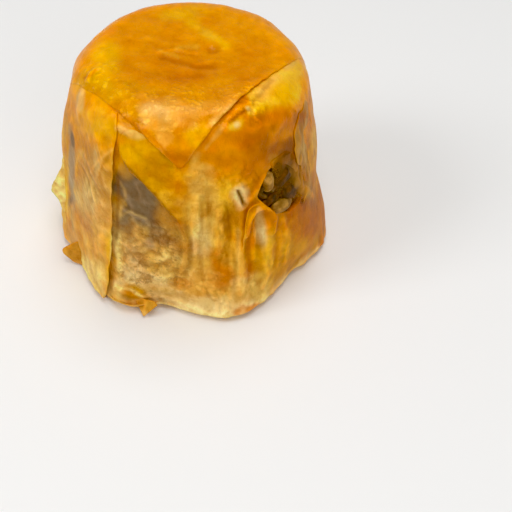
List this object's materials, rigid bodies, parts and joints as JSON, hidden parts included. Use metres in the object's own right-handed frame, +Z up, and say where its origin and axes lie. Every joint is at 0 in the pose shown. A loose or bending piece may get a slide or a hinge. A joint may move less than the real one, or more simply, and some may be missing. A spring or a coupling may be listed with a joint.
{
  "type": "pastry-wrapped pilaf",
  "caption": "Drum of cooked rice pilaf baked in thin buttered pastry sheets, with a draped square top sheet, folded seams and a hole in the wall that shows the filling.",
  "frame": {"origin": "centre of the flat base, on the surface that the drum stands on", "axes": "+Z up through the middle of the top; -Y towards the side with the top sheet's front corner; +X towards the side with the hole"},
  "size_m": [0.1127, 0.1114, 0.0861],
  "materials": {
    "pastry": "baked pastry sheets brushed with butter: glossy orange top, golden wall with brown toasting and pale hems",
    "pilaf": "moist dark brown filling with pale nuts and grains of rice"
  },
  "bodies": {
    "root": {"pastry": "pastry", "pilaf": "pilaf"}
  },
  "joints": []
}
